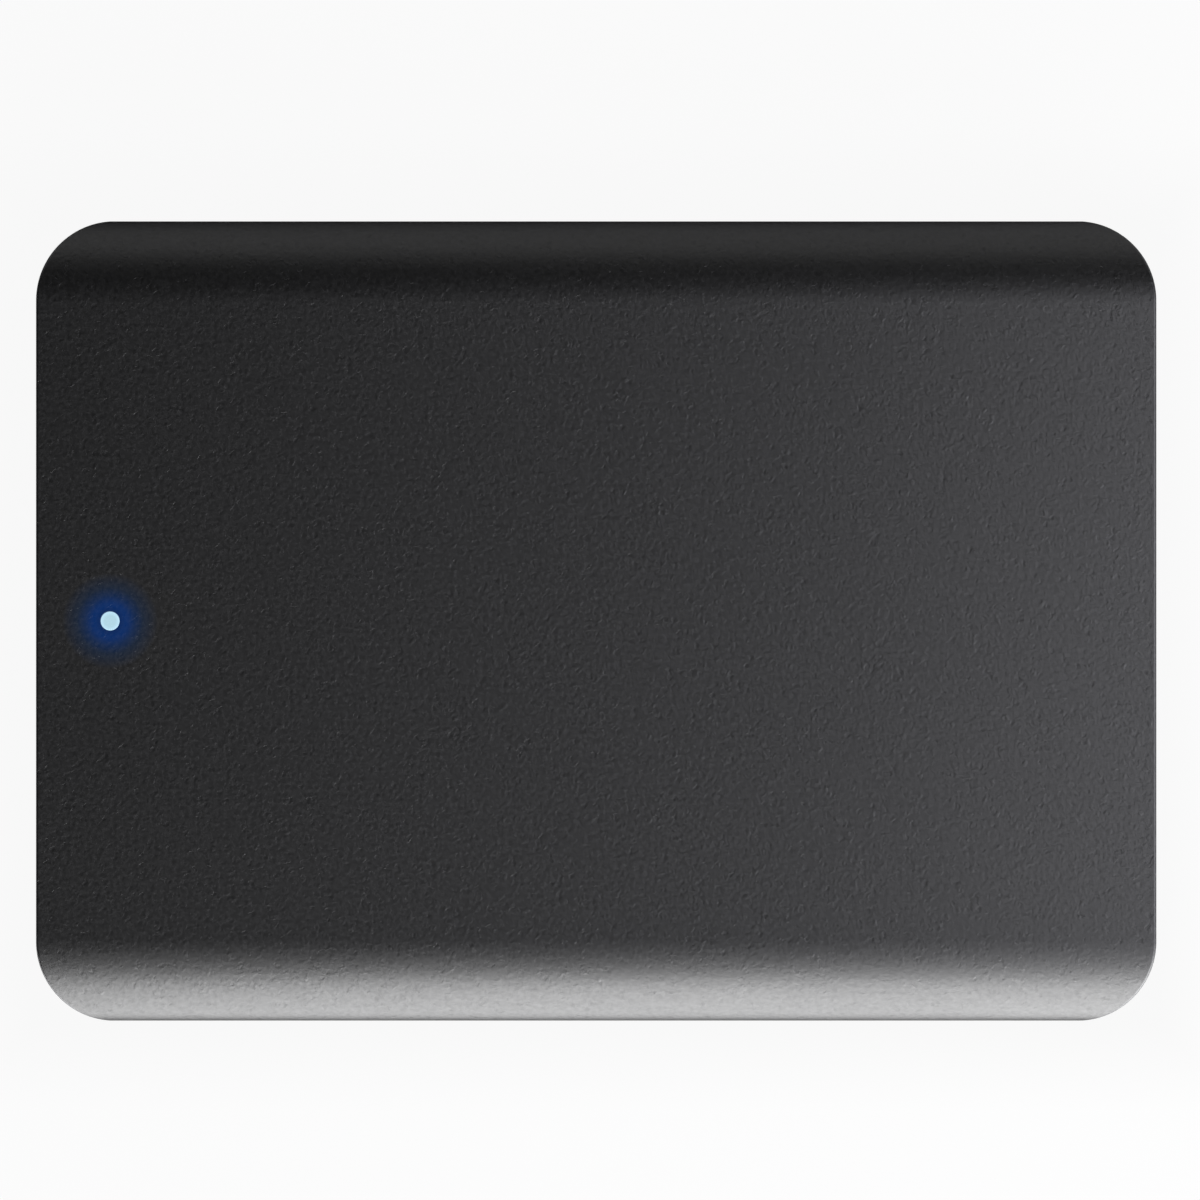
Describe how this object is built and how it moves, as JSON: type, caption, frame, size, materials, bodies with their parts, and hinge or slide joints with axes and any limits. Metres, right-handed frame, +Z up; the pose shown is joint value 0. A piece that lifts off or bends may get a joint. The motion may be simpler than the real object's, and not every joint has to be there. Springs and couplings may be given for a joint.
{
  "type": "portable external hard drive",
  "caption": "Slim portable hard drive: black blasted metal sleeve with rolled sides, plastic end caps, lit round window, thin USB socket, spinning disk and swinging heads inside.",
  "frame": {"origin": "centre of the footprint, on the resting plane under the feet", "axes": "+X along the length to the rear end, with the port end at -X; +Y across; +Z up out of the flat top"},
  "size_m": [0.112, 0.08, 0.013],
  "materials": {
    "anodised_sleeve": "bead-blasted, black anodised",
    "black_cap": "fine-textured moulding",
    "grey_tray": "moulded",
    "soft_silicone": "soft moulded",
    "foam": "closed-cell foam",
    "foot_rubber": "matt rubber",
    "clear_pipe": "clear light pipe, lit pale blue",
    "lamp": "lit",
    "green_board": "solder mask",
    "chip_black": "moulded package",
    "bright_can": "plated",
    "connector_black": "moulded",
    "nickel_shell": "nickel plated",
    "gold_contacts": "plated",
    "screw_steel": "turned steel",
    "cast_base": "die cast",
    "stamped_cover": "stamped",
    "seal": "soft seal",
    "turned_steel": "turned and ground",
    "lamination": "stacked sheet",
    "copper_wire": "enamelled copper",
    "disk_mirror": "polished",
    "slider_ceramic": "lapped",
    "ramp_white": "moulded",
    "filter_cloth": "pleated cloth",
    "amber_film": "thin film"
  },
  "bodies": {
    "case": {"sleeve": "anodised_sleeve", "port_end_cap": "black_cap", "rear_end_cap": "black_cap", "drive_tray": "grey_tray", "bumper_port_left": "soft_silicone", "bumper_port_right": "soft_silicone", "bumper_rear_left": "soft_silicone", "bumper_rear_right": "soft_silicone", "crash_stops": "soft_silicone", "top_foam_pad": "foam", "rear_foam_strip": "foam", "foot_port_left": "foot_rubber", "foot_port_right": "foot_rubber", "foot_rear_left": "foot_rubber", "foot_rear_right": "foot_rubber", "light_pipe": "clear_pipe", "status_light": "lamp", "bridge_board": "green_board", "controller_board": "green_board", "bridge_chip": "chip_black", "processor_chip": "chip_black", "driver_chip": "chip_black", "cache_chip": "chip_black", "crystal": "bright_can", "lower_magnet": "bright_can", "upper_magnet": "bright_can", "sata_socket": "connector_black", "sata_plug": "connector_black", "usb_insulator": "connector_black", "flex_connector": "connector_black", "usb_shell": "nickel_shell", "usb_contacts": "gold_contacts", "bridge_screws": "screw_steel", "cover_screws": "screw_steel", "board_screws": "screw_steel", "drive_base": "cast_base", "drive_cover": "stamped_cover", "cover_gasket": "seal", "bearing_sleeve": "turned_steel", "pivot_post": "turned_steel", "stator_core": "lamination", "lower_yoke": "lamination", "upper_yoke": "lamination", "stator_coils": "copper_wire", "load_ramp": "ramp_white", "air_filter": "filter_cloth", "desiccant": "filter_cloth", "head_flex": "amber_film"},
    "disk_pack": {"spindle_shaft": "turned_steel", "spindle_hub": "turned_steel", "rotor_magnet": "bright_can", "platter": "disk_mirror", "disk_clamp": "stamped_cover", "clamp_screw": "screw_steel"},
    "head_stack": {"arm_block": "stamped_cover", "pivot_cartridge": "turned_steel", "voice_coil": "copper_wire", "suspensions": "turned_steel", "head_sliders": "slider_ceramic"}
  },
  "joints": [
    {"name": "spindle_spin", "type": "hinge", "parent": "case", "child": "disk_pack", "pos_m": [0.01846, 0, 0.0072], "axis": [0, 0, 1], "continuous": true},
    {"name": "head_swing", "type": "hinge", "parent": "case", "child": "head_stack", "pos_m": [-0.02094, 0.01593, 0.0075], "axis": [0, 0, 1], "range_deg": [0, 30.18], "deforming": ["head_flex"]}
  ]
}
